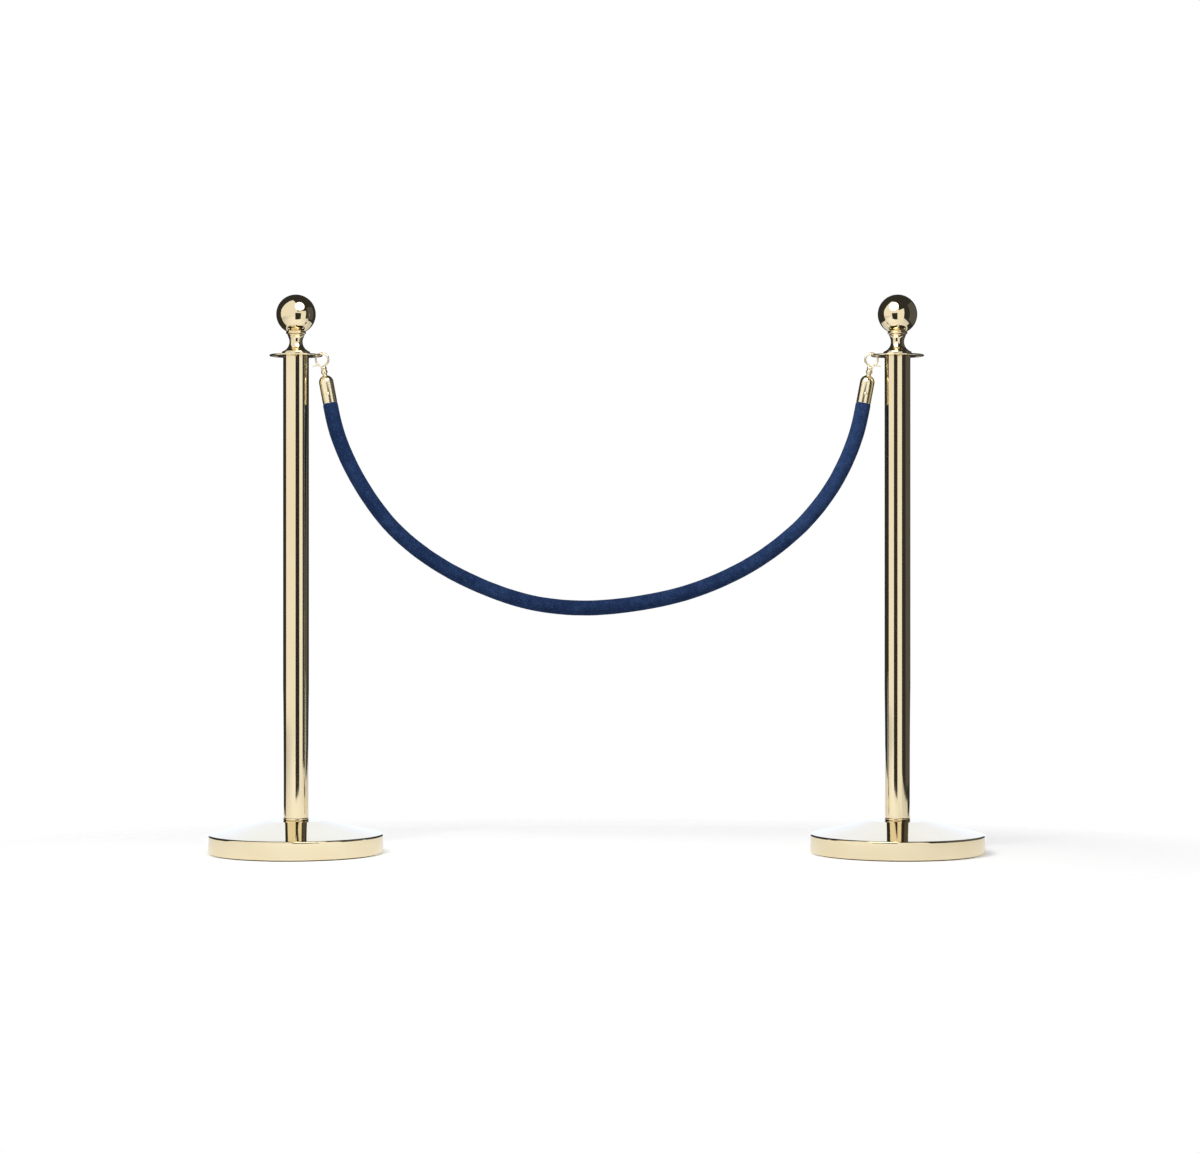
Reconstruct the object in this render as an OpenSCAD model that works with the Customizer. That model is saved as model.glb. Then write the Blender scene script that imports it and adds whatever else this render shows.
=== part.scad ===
// Rope barrier: two weighted posts with a velvet rope hooked into their rope plates.
// Millimetres, +Z up. The origin is on the floor, midway between the posts.
// The rope hangs in the X-Z plane, and -Y is the front.

/* [Posts] */
// Distance between the axes of the two posts
post_spacing = 1076; // [900:2:1400]
// Length of a post tube
tube_len = 825; // [600:5:1000]
// Outer diameter of a post tube
tube_d = 46; // [40:0.5:54]
// Wall of a post tube
tube_wall = 1.5; // [1:0.1:2.5]
// Height of the collar that the tube stands on
collar_h = 4.5; // [3:0.5:8]
// How far the collar stands out past the tube
collar_lip = 0.6; // [0.2:0.1:2]
// Length of the threaded plug in each end of the tube
plug_len = 32; // [20:1:50]

/* [Base] */
// Outer diameter of a base
base_d = 312; // [270:2:360]
// Height of the flat top of a base
base_h = 60; // [54:1:80]
// Height at which the line of the cone meets the rim
rim_h = 34.5; // [28:0.5:44]
// Diameter of the flat top of a base
base_flat_d = 104; // [80:2:140]
// Sheet thickness of the spun cover
cover_t = 1.2; // [0.8:0.1:1.6]
// Outside radius between rim and cone
rim_round = 3.5; // [2.5:0.5:8]
// Outside radius between cone and flat top
top_round = 9; // [4:1:20]
// Height of the cover's hem above the floor
cover_lift = 2; // [1:0.5:3]
// Width of the hem turned in under the weight
hem_w = 6; // [4:0.5:12]
// Thickness of the cast plate of the weight
weight_t = 18.5; // [12:0.5:21]
// Diameter of the top of the weight's hub
hub_top_d = 60; // [40:2:76]
// Diameter of the foot of the weight's hub
hub_foot_d = 120; // [90:2:160]
// Width of the rubber floor ring
floor_ring_w = 24; // [12:1:40]
// Thickness of the rubber floor ring
floor_ring_t = 3.5; // [3.3:0.1:6]

/* [Fastening] */
// Diameter of the tie rod through the base
rod_d = 12; // [10:1:16]
// Diameter of the stud that holds the finial
stud_d = 10; // [8:1:12]
// Diameter of the pocket under the weight
pocket_d = 40; // [34:1:60]
// Depth of the pocket under the weight
pocket_depth = 12; // [9:0.5:13]
// Thickness of the washer in the pocket
base_washer_t = 2; // [1.5:0.5:3]
// Diameter of the washer in the pocket
base_washer_d = 28; // [24:1:33]
// Height of the hex nut in the pocket
base_nut_h = 9; // [6:0.5:9.5]
// Width across corners of the hex nut in the pocket
base_nut_d = 21.9; // [18:0.1:26]

/* [Rope plate] */
// Diameter of the rope plate
plate_d = 94.5; // [84:0.5:120]
// Thickness of the rope plate
plate_t = 2.8; // [2:0.1:3.2]
// Diameter of each hook hole
hole_d = 13; // [11:0.5:14]
// Width of the lip between a hook hole and the edge of the plate
lip_w = 3.25; // [2.5:0.25:4]

/* [Finial] */
// Diameter of the ball
ball_d = 70.5; // [56:0.5:90]
// Wall of the hollow ball
ball_wall = 1.2; // [0.8:0.1:2]
// Height from the rope plate to the joint of ball and neck
neck_h = 42; // [36:0.5:60]
// Diameter of the foot of the neck
neck_foot_d = 51; // [44:0.5:60]
// Diameter of the waist of the neck
neck_waist_d = 23.6; // [20:0.2:28]
// Radius of the cove between foot and beads
cove_r = 18.5; // [16:0.5:22]
// Height of the waist above the rope plate
waist_h = 23.2; // [20:0.2:26]
// Diameter of the bead under the ball
bead_d = 35.8; // [30:0.2:42]
// Section radius of the bead under the ball
bead_r = 2.6; // [2:0.1:3]
// Diameter of the lower bead
low_bead_d = 30.4; // [26:0.2:36]
// Section radius of the lower bead
low_bead_r = 1.8; // [1.2:0.1:2.2]

/* [Rope] */
// Outer diameter of the velvet rope
rope_d = 27; // [22:0.5:32]
// Thickness of the velvet sheath
sheath_t = 1.5; // [1:0.1:2.5]
// Length of rope held inside a ferrule
rope_grip = 34; // [24:1:36]

/* [Ferrule] */
// How far the velvet stands out past a ferrule
ferrule_inset = 0.5; // [0:0.1:1.5]
// Wall of a ferrule
ferrule_wall = 1; // [0.7:0.1:1.5]
// Length of the straight part of a ferrule
ferrule_len = 37.6; // [28:0.2:60]
// Height of the ferrule screw above the mouth
screw_up = 17; // [8:0.5:26]
// Diameter of the ferrule screw's shank
screw_d = 3; // [2.5:0.1:4]
// Diameter of the ferrule screw's head
screw_head_d = 6.4; // [5:0.1:8]
// Height of the ferrule screw's head
screw_head_h = 1.7; // [1:0.1:2.4]
// Length of the ferrule screw under its head
screw_len = 10; // [6:0.5:12]

/* [Swivel] */
// Diameter of the hook's swivel barrel
barrel_d = 11.6; // [9.4:0.1:13]
// Length of the hook's swivel barrel
barrel_len = 5.4; // [5:0.1:10]
// Diameter of the swivel pin where it turns
pin_d = 4; // [3:0.1:4.6]
// Diameter of the swivel pin's head
pin_head_d = 6.4; // [5.4:0.1:6.8]
// Height of the swivel pin's head
pin_head_h = 2.4; // [1.5:0.1:2.8]
// Diameter of the swivel pin's shoulder on the ferrule
shoulder_d = 8; // [7:0.1:9]
// Height of the swivel pin's shoulder
shoulder_h = 2.4; // [2:0.1:6]
// Diameter of the threaded end of the swivel pin
pin_thread_d = 5; // [4:0.5:6]
// Thickness of the washer under the barrel
swivel_washer_t = 1.4; // [0.8:0.1:2]
// Height of the nut inside the ferrule
swivel_nut_h = 4; // [3:0.1:5]
// Width across corners of the nut inside the ferrule
swivel_nut_d = 9.2; // [8:0.1:10]

/* [Hook] */
// Inner diameter of the hook's loop
loop_in_d = 19; // [18:0.2:24]
// Diameter of the hook's wire
wire_d = 3.6; // [3:0.1:4]
// Diameter of the knuckle between loop and barrel
knuckle_d = 10.8; // [9.6:0.1:12]
// Lean of hook and ferrule from the vertical, in degrees
end_tilt = 10.6; // [6:0.1:15]
// How far the trigger's pivot lies off the hook's axis
pivot_x = 2.5; // [1.5:0.1:2.8]
// Angle round the loop at which nose and trigger meet, in degrees
nose_angle = 16; // [12:1:18]
// Angle round the loop of the trigger's joint with its thumb tab, in degrees
joint_angle = -50; // [-54:1:-46]
// Diameter of the trigger's pivot pin
pivot_d = 2; // [1.6:0.1:2.2]
// Length of the trigger's thumb tab
tab_len = 9.4; // [6:0.2:12]
// Thickness of the trigger's thumb tab
tab_t = 1.7; // [1.2:0.1:2.2]
// Wire diameter of the trigger's spring
spring_wire_d = 0.5; // [0.3:0.05:0.5]

/* [Hidden] */
$fn = 64;
// Radial clearance of a running fit
run_gap = 0.06;
// Clearance between pieces that are clamped or laid together
seat_gap = 0.1;
// Clearance between soft or curved pieces
soft_gap = 0.3;

post_x = post_spacing / 2;
tube_r = tube_d / 2;
tube_in_r = tube_r - tube_wall;
base_r = base_d / 2;
cone_slope = atan((base_h - rim_h) / (base_r - base_flat_d / 2));
tube_z = base_h + collar_h;
plate_z = tube_z + tube_len;
plate_top_z = plate_z + plate_t;
plate_r = plate_d / 2;
hole_at = plate_r - lip_w - hole_d / 2;
hole_count = 4;
plate_edge_r = 1.2;

ball_r = ball_d / 2;
// The ball's centre follows from the bead that its surface meets
ball_z = plate_top_z + neck_h + sqrt(ball_r * ball_r - bead_d * bead_d / 4);
boss_wall = 4;
boss_h = 20;
boss_roof = 2;
// How far rod and stud stop short of their plugs' ends, and the stud's hold in the ball
rod_short = 2;
stud_short = 4;
stud_hold = 14;
stud_low_z = plate_z - plug_len + stud_short;
stud_top_z = ball_z - ball_r + stud_hold;

weight_gap = 0.8;
weight_r = base_r - cover_t - weight_gap;
weight_z = max(floor_ring_t, cover_lift + cover_t + soft_gap);
hub_top_z = base_h - cover_t;
pocket_z = weight_z + pocket_depth;
rod_low_z = 2;
rod_top_z = tube_z + plug_len - rod_short;
cut = 1;
thread_gap = 0.05;
rod_gap = 0.3;

// The end frame has its origin at the centre of the hook's loop, +Z along the
// ferrule's axis to the hook, and +X towards the post.
wire_r = wire_d / 2;
loop_in_r = loop_in_d / 2;
loop_r = loop_in_r + wire_r;
hang_gap = 0.28;
loop_overhang = 0.75;
loop_out = plate_r - loop_overhang;
hole_edge = plate_r - lip_w;
loop_drop = sqrt(pow(loop_in_r - hang_gap, 2) - pow(loop_out - hole_edge, 2));
end_x = post_x - loop_out;
end_z = plate_top_z - loop_drop;

// The knuckle reaches into the foot of the loop, and the barrel starts below its middle
knuckle_r = knuckle_d / 2;
knuckle_rise = 0.5;
knuckle_z = -loop_r - knuckle_r + knuckle_rise;
barrel_r = barrel_d / 2;
barrel_drop = 3.6;
barrel_top = knuckle_z - barrel_drop;
barrel_low = barrel_top - barrel_len;
barrel_floor = 1.8;
head_room = 3;
washer_top = barrel_low - seat_gap;
shoulder_top = washer_top - swivel_washer_t;
ferrule_top = shoulder_top - shoulder_h;

ferrule_r = rope_d / 2 - ferrule_inset;
ferrule_in_r = ferrule_r - ferrule_wall;
seat_lip = 0.2;
seat_r = shoulder_d / 2 + seat_lip;
dome_z = ferrule_top - sqrt(ferrule_r * ferrule_r - seat_r * seat_r);
nut_room = 0.8;
inner_seat_r = swivel_nut_d / 2 + nut_room;
inner_seat_z = dome_z + sqrt(pow(ferrule_in_r, 2) - inner_seat_r * inner_seat_r);
nut_washer_t = 1;
mouth = dome_z - ferrule_len;
screw_z = mouth + screw_up;

// The trigger turns in a slot in the knuckle, beside its spring
pivot_r = pivot_d / 2;
pivot_rise = 0.7;
pivot_z = knuckle_z + pivot_rise;
pivot_boss_r = 2.5;
pivot_boss_y = knuckle_r;
slot_y = 1.7;
eye_r = 2.4;
joint_r = 2.2;
joint_x = loop_r * cos(joint_angle);
joint_z = loop_r * sin(joint_angle);
nose_x = loop_r * cos(nose_angle);
nose_z = loop_r * sin(nose_angle);
gate_reach = norm([nose_x - pivot_x, nose_z - pivot_z]);
nose_lean = atan2(nose_x - pivot_x, nose_z - pivot_z);
nose_gap = 0.35;
gate_slim = 0.2;
gate_wire_r = wire_r - gate_slim;
loop_end = 262;
link_turn = atan2(joint_z - pivot_z, joint_x - pivot_x);
link_len = norm([joint_x - pivot_x, joint_z - pivot_z]);

// The spring's first leg lies along the link, and its last one stands on the slot's floor
coil_gap = 0.2;
coil_r = pivot_r + spring_wire_d / 2 + coil_gap;
coil_start = link_turn + 90;
coil_turns = 2 + (90 - link_turn) / 360;
leg_gap = 0.5;
gate_leg = link_len - joint_r - leg_gap;
floor_leg = eye_r;

// The rope's own radii, free and inside a ferrule
rope_r = rope_d / 2;
grip_r = ferrule_in_r - soft_gap;
rope_sides = 12;
rope_top = mouth + rope_grip;
step_len = 0.05;

// The rope's route between the two ferrules: [x, height above the floor], left to right,
// for posts that stand route_spacing apart with the rope plate route_plate_z above the floor
route_spacing = 1076;
route_plate_z = 889.5;
route = [
    [-468, 762], [-452, 718], [-431, 675], [-405, 633], [-372, 590], [-334, 554],
    [-281, 516], [-226, 487], [-173, 465], [-119, 449], [-66, 441], [-12, 439],
    [42, 443], [95, 451], [149, 463], [202, 481], [256, 506], [292, 527],
    [328, 553], [370, 590], [406, 633], [433, 675], [453, 718], [468, 761]
];

POST_PIECES = [
    "floor_ring", "base_weight", "base_cover", "tie_rod", "base_washer", "base_nut",
    "base_collar", "lower_plug", "post_tube", "upper_plug", "rope_plate",
    "finial_stud", "finial_neck", "finial_ball"
];
END_PIECES = [
    "ferrule", "ferrule_screw", "swivel_pin", "swivel_washer", "nut_washer", "swivel_nut",
    "hook", "trigger", "trigger_pin", "trigger_spring"
];
SIDES = ["left", "right"];

gold = "gold";
steel = "silver";

// Points of an arc about [x, y] from angle a to angle b
function arc(x, y, r, a, b, n = 10) =
    [for (i = [0 : n]) [x + r * cos(a + (b - a) * i / n), y + r * sin(a + (b - a) * i / n)]];

// Places a post's piece at its post
module at_post(side) {
    translate([side == "left" ? -post_x : post_x, 0, 0]) children();
}

// Places a rope end's piece in its end frame; the left end mirrors the right one
module at_end(side) {
    mirror([side == "left" ? 1 : 0, 0, 0])
        translate([end_x, 0, end_z]) rotate([0, end_tilt, 0]) children();
}

// A plain washer or ring standing on height z
module washer(outer_d, inner_d, z, t) {
    translate([0, 0, z]) difference() {
        cylinder(d = outer_d, h = t);
        translate([0, 0, -cut]) cylinder(d = inner_d, h = t + 2 * cut);
    }
}

// A hex nut standing on height z, with its bore
module nut(corners_d, bore_d, z, h) {
    translate([0, 0, z]) difference() {
        cylinder(d = corners_d, h = h, $fn = 6);
        translate([0, 0, -cut]) cylinder(d = bore_d, h = h + 2 * cut);
    }
}

// A plug with chamfered ends and a bore through it
module tube_plug(z, bore_d) {
    r = tube_in_r - seat_gap;
    chamfer = 1;
    rotate_extrude() polygon([
        [bore_d / 2, z], [r - chamfer, z], [r, z + chamfer],
        [r, z + plug_len - chamfer], [r - chamfer, z + plug_len], [bore_d / 2, z + plug_len]
    ]);
}

// One face of the cover's sheet, o under the outside: rim, cone and flat top
function cover_line(o) =
    let (
        r = base_r - o,
        top = base_h - o,
        drop = o / cos(cone_slope),
        corner_z = base_h - (r - base_flat_d / 2) * tan(cone_slope) - drop,
        flat_r = base_flat_d / 2 - (drop - o) / tan(cone_slope),
        rim = rim_round - o,
        shoulder = top_round - o,
        rim_back = rim / tan(45 + cone_slope / 2),
        shoulder_back = shoulder * tan(cone_slope / 2)
    )
    concat(
        arc(r - rim, corner_z - rim_back, rim, 0, 90 - cone_slope, 8),
        arc(flat_r - shoulder_back, top - shoulder, shoulder, 90 - cone_slope, 90, 6)
    );

function reversed(list) = [for (i = [len(list) - 1 : -1 : 0]) list[i]];

// Post pieces

module floor_ring() {
    edge = base_r - hem_w - 2;
    color("dimgray") washer(2 * edge, 2 * (edge - floor_ring_w), weight_z - floor_ring_t, floor_ring_t);
}

module base_weight() {
    chamfer = 3;
    plate_top = weight_z + weight_t;
    color("gray") rotate_extrude() polygon([
        [pocket_d / 2, weight_z], [weight_r - 1, weight_z], [weight_r, weight_z + 1],
        [weight_r, plate_top - chamfer], [weight_r - chamfer, plate_top],
        [hub_foot_d / 2, plate_top], [hub_top_d / 2, hub_top_z],
        [rod_d / 2 + rod_gap, hub_top_z], [rod_d / 2 + rod_gap, pocket_z], [pocket_d / 2, pocket_z]
    ]);
}

module base_cover() {
    hem_r = base_r - hem_w;
    bottom = cover_lift;
    hole_r = rod_d / 2 + rod_gap;
    turn = rim_round - 1;
    color(gold) rotate_extrude() polygon(concat(
        [[hem_r, bottom]],
        arc(base_r - turn, bottom + turn, turn, -90, 0, 6),
        cover_line(0),
        [[hole_r, base_h], [hole_r, base_h - cover_t]],
        reversed(cover_line(cover_t)),
        arc(base_r - turn, bottom + turn, turn - cover_t, 0, -90, 6),
        [[hem_r, bottom + cover_t]]
    ));
}

module tie_rod() {
    color(steel) translate([0, 0, rod_low_z]) cylinder(d = rod_d, h = rod_top_z - rod_low_z);
}

module base_washer() {
    color(steel) washer(base_washer_d, rod_d + 2 * rod_gap, pocket_z - base_washer_t, base_washer_t);
}

module base_nut() {
    color(steel)
        nut(base_nut_d, rod_d + 2 * thread_gap, pocket_z - base_washer_t - base_nut_h, base_nut_h);
}

module base_collar() {
    r = tube_r + collar_lip;
    round_r = collar_h / 3;
    hole_r = rod_d / 2 + rod_gap;
    color(gold) translate([0, 0, base_h]) rotate_extrude() polygon(concat(
        [[hole_r, 0]],
        arc(r - round_r, round_r, round_r, -90, 0, 6),
        arc(r - round_r, collar_h - round_r, round_r, 0, 90, 6),
        [[hole_r, collar_h]]
    ));
}

module lower_plug() {
    color(steel) tube_plug(tube_z, rod_d + 2 * thread_gap);
}

module post_tube() {
    color(gold) washer(tube_d, 2 * tube_in_r, tube_z, tube_len);
}

module upper_plug() {
    color(steel) tube_plug(plate_z - plug_len, stud_d + 2 * thread_gap);
}

module rope_plate() {
    e = plate_edge_r;
    color(gold) translate([0, 0, plate_z]) difference() {
        rotate_extrude() polygon(concat(
            [[stud_d / 2 + seat_gap, 0]],
            arc(plate_r - e, e, e, -90, 0, 5),
            arc(plate_r - e, plate_t - e, e, 0, 90, 5),
            [[stud_d / 2 + seat_gap, plate_t]]
        ));
        for (i = [0 : hole_count - 1])
            rotate([0, 0, 360 / hole_count * i])
                translate([hole_at, 0, -cut]) cylinder(d = hole_d, h = plate_t + 2 * cut);
    }
}

module finial_stud() {
    color(steel) translate([0, 0, stud_low_z]) cylinder(d = stud_d, h = stud_top_z - stud_low_z);
}

// Flared foot, cove and two beads, with a cupped seat for the ball
module finial_neck() {
    foot_r = neck_foot_d / 2;
    cove_x = neck_waist_d / 2 + cove_r;
    foot_round = 1.2;
    bead_h = neck_h - bead_r - 0.1;
    low_bead_h = bead_h - bead_r - low_bead_r + 0.3;
    bore_r = stud_d / 2 + seat_gap;
    color(gold) difference() {
        translate([0, 0, plate_top_z]) rotate_extrude() polygon(concat(
            [[bore_r, 0]],
            arc(foot_r - foot_round, foot_round, foot_round, -90, 0, 4),
            arc(foot_r - foot_round, 3.4, foot_round, 0, 60, 4),
            arc(cove_x, waist_h, cove_r, -108, -210, 24),
            arc(low_bead_d / 2 - low_bead_r, low_bead_h, low_bead_r, -75, 70, 10),
            arc(bead_d / 2 - bead_r, bead_h, bead_r, -70, 80, 12),
            [[bore_r, neck_h]]
        ));
        translate([0, 0, ball_z]) sphere(ball_r + seat_gap);
    }
}

// Hollow ball with a threaded boss inside its foot
module finial_ball() {
    low = ball_z - ball_r;
    color(gold) difference() {
        union() {
            translate([0, 0, ball_z]) difference() {
                sphere(ball_r);
                sphere(ball_r - ball_wall);
            }
            intersection() {
                translate([0, 0, low - cut]) cylinder(r = stud_d / 2 + boss_wall, h = boss_h + cut);
                translate([0, 0, ball_z]) sphere(ball_r);
            }
        }
        translate([0, 0, low - cut]) cylinder(r = stud_d / 2 + thread_gap, h = boss_h - boss_roof + cut);
    }
}

// Rope end pieces, in the end frame

module ferrule() {
    dome_from = asin((ferrule_top - dome_z) / ferrule_r);
    inner_from = asin((inner_seat_z - dome_z) / ferrule_in_r);
    hole_r = pin_thread_d / 2 + thread_gap;
    color(gold) difference() {
        rotate_extrude() polygon(concat(
            [[hole_r, ferrule_top]],
            arc(0, dome_z, ferrule_r, dome_from, 0, 14),
            [[ferrule_r, mouth], [ferrule_in_r, mouth]],
            arc(0, dome_z, ferrule_in_r, 0, inner_from, 12),
            [[hole_r, inner_seat_z]]
        ));
        translate([0, 0, screw_z]) rotate([90, 0, 0])
            cylinder(d = screw_d + 2 * thread_gap, h = ferrule_r + cut);
    }
}

// Round-headed screw through the front of the ferrule into the rope
module ferrule_screw() {
    head_r = screw_head_d / 2;
    crown_r = (head_r * head_r + screw_head_h * screw_head_h) / (2 * screw_head_h);
    crown_from = asin((crown_r - screw_head_h) / crown_r);
    point_h = 3;
    blunt_r = screw_d / 2 - 0.6;
    color(gold) translate([0, 0, screw_z]) rotate([90, 0, 0])
        translate([0, 0, ferrule_r + thread_gap]) rotate_extrude() polygon(concat(
            [[0, -screw_len], [blunt_r, -screw_len + 1], [screw_d / 2, -screw_len + point_h]],
            [[screw_d / 2, 0]],
            arc(0, screw_head_h - crown_r, crown_r, crown_from, 90, 8)
        ));
}

// Headed pin that the hook turns on, bolted through the top of the ferrule
module swivel_pin() {
    head_low = barrel_low + barrel_floor + seat_gap;
    thread_out = 1.5;
    end = inner_seat_z - nut_washer_t - swivel_nut_h - thread_out;
    bevel = 0.5;
    color(gold) rotate_extrude() polygon([
        [0, head_low + pin_head_h], [pin_head_d / 2 - bevel, head_low + pin_head_h],
        [pin_head_d / 2, head_low + pin_head_h - bevel], [pin_head_d / 2, head_low],
        [pin_d / 2, head_low], [pin_d / 2, shoulder_top], [shoulder_d / 2 - bevel, shoulder_top],
        [shoulder_d / 2, shoulder_top - bevel], [shoulder_d / 2, ferrule_top],
        [pin_thread_d / 2, ferrule_top], [pin_thread_d / 2, end], [0, end]
    ]);
}

module swivel_washer() {
    color(gold) washer(shoulder_d + 0.8, pin_d + 2 * seat_gap, shoulder_top, swivel_washer_t);
}

module nut_washer() {
    color(steel)
        washer(swivel_nut_d + 1, pin_thread_d + 2 * seat_gap, inner_seat_z - nut_washer_t, nut_washer_t);
}

module swivel_nut() {
    color(steel)
        nut(swivel_nut_d, pin_thread_d + 2 * thread_gap,
            inner_seat_z - nut_washer_t - swivel_nut_h, swivel_nut_h);
}

// A stretch of round wire along the loop, from angle a to angle b
module loop_wire(r, a, b) {
    rotate([90, 0, 0]) rotate([0, 0, a]) rotate_extrude(angle = b - a) translate([loop_r, 0]) circle(r);
}

// A cylinder about the trigger's pivot, from y to y + len
module at_pivot(r, y, len) {
    translate([pivot_x, y + len, pivot_z]) rotate([90, 0, 0]) cylinder(r = r, h = len);
}

// Open loop on a knuckle, which is slotted for the trigger, and a barrel that holds the pin's head
module hook() {
    edge = 1.6;
    waist_in = 1.4;
    waist_r = barrel_r - waist_in;
    waist_up = 0.4;
    meet = asin((barrel_top - knuckle_z + waist_up) / knuckle_r);
    nose_spare = 12;
    slot_low = pivot_z - eye_r - soft_gap;
    slot_back = pivot_x - eye_r - soft_gap;
    room = 3 * knuckle_r;
    color(gold) difference() {
        union() {
            difference() {
                loop_wire(wire_r, nose_angle - nose_spare, loop_end);
                translate([pivot_x, 0, pivot_z]) rotate([0, nose_lean, 0])
                    translate([-wire_d, -wire_d, gate_reach / 2])
                        cube([2 * wire_d, 2 * wire_d, gate_reach / 2 + nose_gap]);
            }
            rotate_extrude() polygon(concat(
                [[0, barrel_low]],
                arc(barrel_r - edge, barrel_low + edge, edge, -90, 0, 6),
                arc(barrel_r - edge, barrel_top - edge, edge, 0, 80, 6),
                [[waist_r, barrel_top]],
                arc(0, knuckle_z, knuckle_r, meet, 90, 14)
            ));
            at_pivot(pivot_boss_r, -pivot_boss_y, 2 * pivot_boss_y);
        }
        translate([slot_back, -slot_y, slot_low]) cube([room, 2 * slot_y, room]);
        translate([0, 0, barrel_low + barrel_floor])
            cylinder(d = pin_head_d + 4 * seat_gap, h = head_room);
        translate([0, 0, barrel_low - cut]) cylinder(d = pin_d + 2 * run_gap, h = barrel_floor + 2 * cut);
        at_pivot(pivot_r + thread_gap, -room, 2 * room);
    }
}

// Spring gate that closes the loop, with its eye, link and thumb tab
module trigger() {
    eye_y = -slot_y + seat_gap;
    link_w = 2 * gate_wire_r - 2 * gate_slim;
    tab_w = 4.4;
    tip_spare = 20;
    color(gold) difference() {
        union() {
            intersection() {
                loop_wire(gate_wire_r, joint_angle, nose_angle + tip_spare);
                at_pivot(gate_reach, -wire_d, 2 * wire_d);
            }
            translate([joint_x, 0, joint_z]) sphere(joint_r);
            at_pivot(eye_r, eye_y, -eye_y);
            translate([pivot_x, eye_y, pivot_z]) rotate([0, -link_turn, 0])
                translate([0, 0, -link_w / 2]) cube([link_len, -eye_y, link_w]);
            translate([joint_x, -tab_w / 2, joint_z - tab_t / 2]) cube([joint_r + tab_len, tab_w, tab_t]);
        }
        at_pivot(pivot_r + run_gap, -wire_d, 2 * wire_d);
    }
}

// Peened pivot pin through both sides of the knuckle
module trigger_pin() {
    peen = 0.5;
    color(steel) union() {
        at_pivot(pivot_r, -pivot_boss_y - peen / 2, 2 * pivot_boss_y + peen);
        for (end = [-pivot_boss_y - peen, pivot_boss_y]) at_pivot(pivot_r + peen, end, peen);
    }
}

// Round sections swept along stations of [place, normal, direction, radius]

function section(s, sides) =
    let (across = cross(s[1], s[2]))
    [for (j = [0 : sides - 1]) let (turn = 360 * j / sides)
        s[0] + s[3] * (cos(turn) * s[1] + sin(turn) * across)];

function sections(stations, sides) = [for (s = stations) each section(s, sides)];

// Triangles along a skin of count sections, whose points start at number first
function skin(count, sides, first, inward) =
    [for (i = [0 : count - 2], j = [0 : sides - 1])
        let (
            k = (j + 1) % sides,
            a = first + i * sides + j,
            b = first + i * sides + k,
            c = b + sides,
            d = a + sides
        )
        each inward ? [[a, c, b], [a, d, c]] : [[a, b, c], [a, c, d]]];

function start_cap(sides) = [for (j = [1 : sides - 2]) [0, j + 1, j]];

function end_cap(sides, first) = [for (j = [1 : sides - 2]) [first, first + j, first + j + 1]];

module swept(stations, sides) {
    n = len(stations);
    polyhedron(
        points = sections(stations, sides),
        faces = concat(skin(n, sides, 0, false), start_cap(sides), end_cap(sides, (n - 1) * sides))
    );
}

// A hollow sweep between two lists of as many stations each
module swept_tube(outer, inner, sides) {
    n = len(outer);
    in0 = n * sides;
    last = (n - 1) * sides;
    polyhedron(
        points = concat(sections(outer, sides), sections(inner, sides)),
        faces = concat(
            skin(n, sides, 0, false),
            skin(n, sides, in0, true),
            [for (j = [0 : sides - 1]) let (k = (j + 1) % sides)
                each [[j, in0 + j, in0 + k], [j, in0 + k, k]]],
            [for (j = [0 : sides - 1]) let (k = (j + 1) % sides)
                each [[last + j, last + k, in0 + last + k], [last + j, in0 + last + k, in0 + last + j]]]
        )
    );
}

// Torsion spring on the pivot pin, one leg on the gate and one in the slot
module trigger_spring() {
    y0 = spring_wire_d / 2 + seat_gap;
    pitch = spring_wire_d;
    steps = 24;
    wire = spring_wire_d / 2;
    function radial(a) = [cos(a), 0, sin(a)];
    function along(a) = [-sin(a), 0, cos(a)];
    function coil(t) =
        let (a = coil_start + 360 * coil_turns * t)
        [[pivot_x, y0 + pitch * coil_turns * t, pivot_z] + coil_r * radial(a), radial(a), along(a), wire];
    first = coil(0);
    last = coil(1);
    stations = concat(
        [[first[0] - gate_leg * first[2], first[1], first[2], wire]],
        [for (i = [0 : steps]) coil(i / steps)],
        [[last[0] + floor_leg * last[2], last[1], last[2], wire]]
    );
    color(steel) swept(stations, 8);
}

// The rope

// Direction of an end's axis, up to its hook, and a place on that axis
function end_dir(s) = [s * sin(end_tilt), 0, cos(end_tilt)];
function end_at(s, z) = [s * end_x, 0, end_z] + z * end_dir(s);

// The route's points, carried along with the posts
function route_at(i) =
    [route[i][0] * post_spacing / route_spacing, 0, route[i][1] + plate_z - route_plate_z];

function unit(v) = v / norm(v);

// The normal in the rope's plane for a direction of travel
function plane_normal(d) = [-d[2], 0, d[0]];

function station(place, d, r) = [place, plane_normal(d), d, r];

// Stations of the whole rope: thin inside the ferrules, thick from step_z down
function rope_stations(thin, thick, step_z) =
    let (
        last = len(route) - 1,
        down = -end_dir(-1),
        up = end_dir(1)
    )
    concat(
        [
            station(end_at(-1, rope_top), down, thin),
            station(end_at(-1, step_z), down, thin),
            station(end_at(-1, step_z - step_len), down, thick)
        ],
        [for (i = [0 : last])
            let (
                before = i == 0 ? end_at(-1, mouth) : route_at(i - 1),
                after = i == last ? end_at(1, mouth) : route_at(i + 1)
            )
            station(route_at(i), unit(after - before), thick)],
        [
            station(end_at(1, step_z - step_len), up, thick),
            station(end_at(1, step_z), up, thin),
            station(end_at(1, rope_top), up, thin)
        ]
    );

// The clearance hole that the ferrule screws make in the rope
module screw_holes() {
    for (side = SIDES)
        at_end(side) translate([0, 0, screw_z]) rotate([90, 0, 0])
            cylinder(d = screw_d + 2 * seat_gap, h = ferrule_r);
}

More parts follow.
